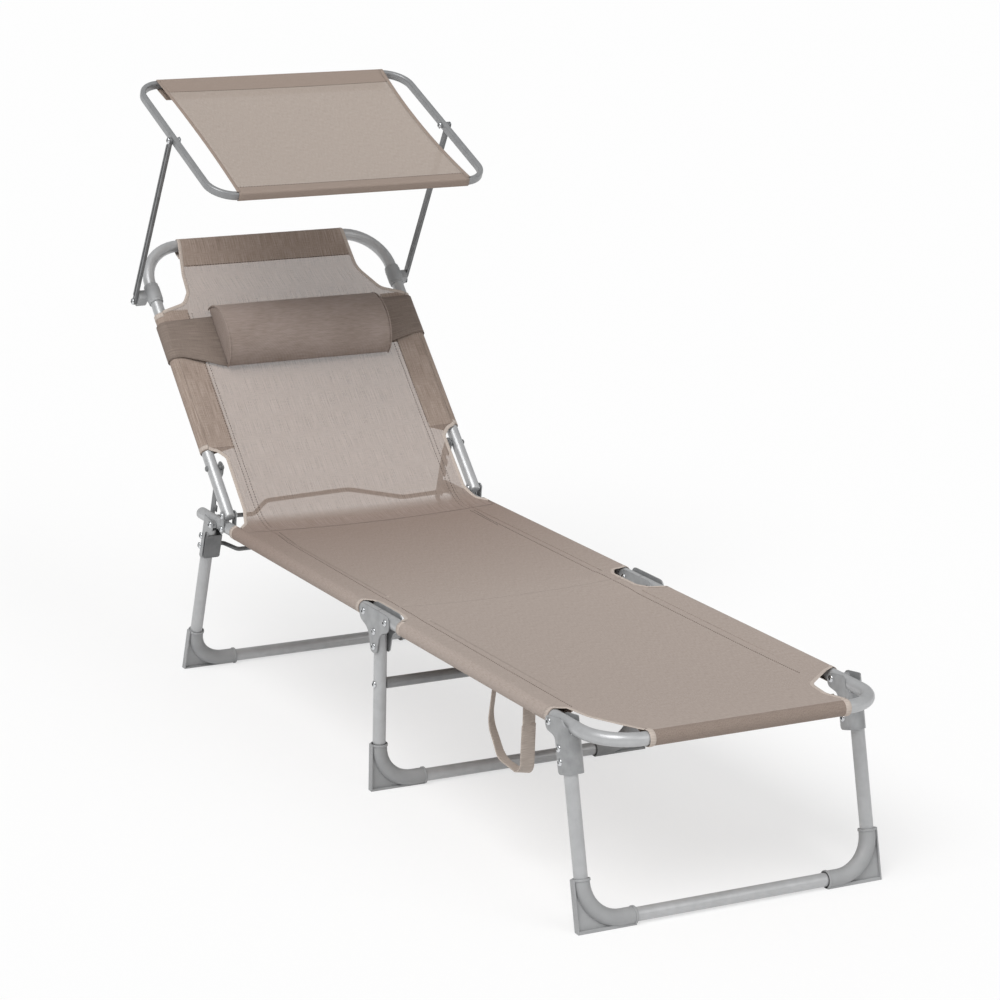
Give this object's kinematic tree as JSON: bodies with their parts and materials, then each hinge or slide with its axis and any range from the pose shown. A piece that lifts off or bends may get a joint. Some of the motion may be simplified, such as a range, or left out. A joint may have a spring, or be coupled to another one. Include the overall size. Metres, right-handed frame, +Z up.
{
  "type": "sun lounger with canopy",
  "caption": "Folding tube-framed sun lounger with a cloth sling, a reclining backrest, a sliding head cushion, a tilting canopy and hinged leg frames.",
  "frame": {"origin": "on the floor, under the middle of the bounding box", "axes": "+Z up, +Y to the head end, +X to the right of someone lying on it"},
  "size_m": [0.577, 1.7806, 1.0644],
  "materials": {
    "painted_tube": "silver grey powder coat, satin",
    "pressed_steel": "silver grey powder coat, satin",
    "bright_steel": "bright zinc",
    "grey_plastic": "fine moulded grain",
    "seat_mesh": "woven coated mesh",
    "backrest_mesh": "woven coated mesh, open",
    "canopy_mesh": "woven coated mesh, open",
    "pillow_cloth": "woven coated mesh over foam",
    "elastic_band": "flat elastic",
    "webbing": "ribbed webbing"
  },
  "bodies": {
    "seat": {"seat_rail_left": "painted_tube", "seat_rail_right": "painted_tube", "rail_end_cap_left": "grey_plastic", "rail_end_cap_right": "grey_plastic", "backrest_hinge_plate_outer_left": "pressed_steel", "backrest_hinge_plate_outer_right": "pressed_steel", "backrest_hinge_plate_inner_left": "pressed_steel", "backrest_hinge_plate_inner_right": "pressed_steel", "backrest_pin_left": "bright_steel", "backrest_pin_right": "bright_steel", "rear_leg_pin_left": "bright_steel", "rear_leg_pin_right": "bright_steel", "locking_rod": "bright_steel", "sling_seat": "seat_mesh"},
    "middle": {"middle_leg_frame": "painted_tube", "middle_crossbar": "painted_tube", "mid_hinge_plate_outer_left": "pressed_steel", "mid_hinge_plate_outer_right": "pressed_steel", "mid_hinge_plate_inner_left": "pressed_steel", "mid_hinge_plate_inner_right": "pressed_steel", "seat_hinge_pin_left": "bright_steel", "seat_hinge_pin_right": "bright_steel", "foot_hinge_pin_left": "bright_steel", "foot_hinge_pin_right": "bright_steel", "middle_foot_left": "grey_plastic", "middle_foot_right": "grey_plastic"},
    "foot_section": {"foot_frame": "painted_tube", "sling_foot": "seat_mesh", "carry_handle": "webbing", "front_leg_pin_left": "bright_steel", "front_leg_pin_right": "bright_steel"},
    "front_legs": {"front_leg_frame": "painted_tube", "front_leg_bracket_left": "pressed_steel", "front_leg_bracket_right": "pressed_steel", "front_foot_left": "grey_plastic", "front_foot_right": "grey_plastic"},
    "rear_legs": {"rear_leg_frame": "painted_tube", "rear_brace_rod": "bright_steel", "rear_leg_bracket_left": "pressed_steel", "rear_leg_bracket_right": "pressed_steel", "rear_foot_left": "grey_plastic", "rear_foot_right": "grey_plastic"},
    "backrest": {"backrest_frame": "painted_tube", "sling_backrest": "backrest_mesh", "canopy_clamp_left": "grey_plastic", "canopy_clamp_right": "grey_plastic", "strut_bolt_left": "bright_steel", "strut_bolt_right": "bright_steel"},
    "headrest": {"headrest_pillow": "pillow_cloth", "headrest_strap": "elastic_band"},
    "support_arm_left": {"support_arm_left": "pressed_steel"},
    "support_arm_right": {"support_arm_right": "pressed_steel"},
    "canopy_struts": {"canopy_strut_left": "pressed_steel", "canopy_strut_right": "pressed_steel"},
    "canopy": {"canopy_frame": "painted_tube", "canopy_fabric": "canopy_mesh", "canopy_bolt_left": "bright_steel", "canopy_bolt_right": "bright_steel", "canopy_nut_left": "bright_steel", "canopy_nut_right": "bright_steel"}
  },
  "joints": [
    {"name": "middle_leg_fold", "type": "hinge", "parent": "seat", "child": "middle", "pos_m": [0, -0.10675, 0.303], "axis": [-1, 0, 0], "range_deg": [0, 90]},
    {"name": "foot_section_fold", "type": "hinge", "parent": "middle", "child": "foot_section", "pos_m": [0, -0.18475, 0.303], "axis": [-1, 0, 0], "range_deg": [0, 90]},
    {"name": "front_leg_fold", "type": "hinge", "parent": "foot_section", "child": "front_legs", "pos_m": [0, -0.74675, 0.303], "axis": [1, 0, 0], "range_deg": [0, 104]},
    {"name": "rear_leg_fold", "type": "hinge", "parent": "seat", "child": "rear_legs", "pos_m": [0, 0.50025, 0.303], "axis": [-1, 0, 0], "range_deg": [0, 102]},
    {"name": "backrest_recline", "type": "hinge", "parent": "seat", "child": "backrest", "pos_m": [0, 0.46525, 0.327], "axis": [-1, 0, 0], "range_deg": [-80, 45.2]},
    {"name": "headrest_slide", "type": "slide", "parent": "backrest", "child": "headrest", "axis": [0, -0.7046, -0.7096], "range_m": [0, 0.15]},
    {"name": "arm_swing_left", "type": "hinge", "parent": "backrest", "child": "support_arm_left", "pos_m": [-0.234, 0.53572, 0.39796], "axis": [1, 0, 0], "range_deg": [-44, 24.87]},
    {"name": "arm_swing_right", "type": "hinge", "parent": "backrest", "child": "support_arm_right", "pos_m": [0.234, 0.53572, 0.39796], "axis": [1, 0, 0], "range_deg": [-44, 24.87]},
    {"name": "canopy_strut_tilt", "type": "hinge", "parent": "backrest", "child": "canopy_struts", "pos_m": [0, 0.82325, 0.65501], "axis": [-1, 0, 0], "range_deg": [-35, 45]},
    {"name": "canopy_tilt", "type": "hinge", "parent": "canopy_struts", "child": "canopy", "pos_m": [0, 0.65538, 0.98024], "axis": [-1, 0, 0], "range_deg": [-60, 60]}
  ],
  "couplings": [
    {"joint": "arm_swing_left", "follows": "backrest_recline", "ratio": 0.55},
    {"joint": "arm_swing_right", "follows": "backrest_recline", "ratio": 0.55}
  ]
}
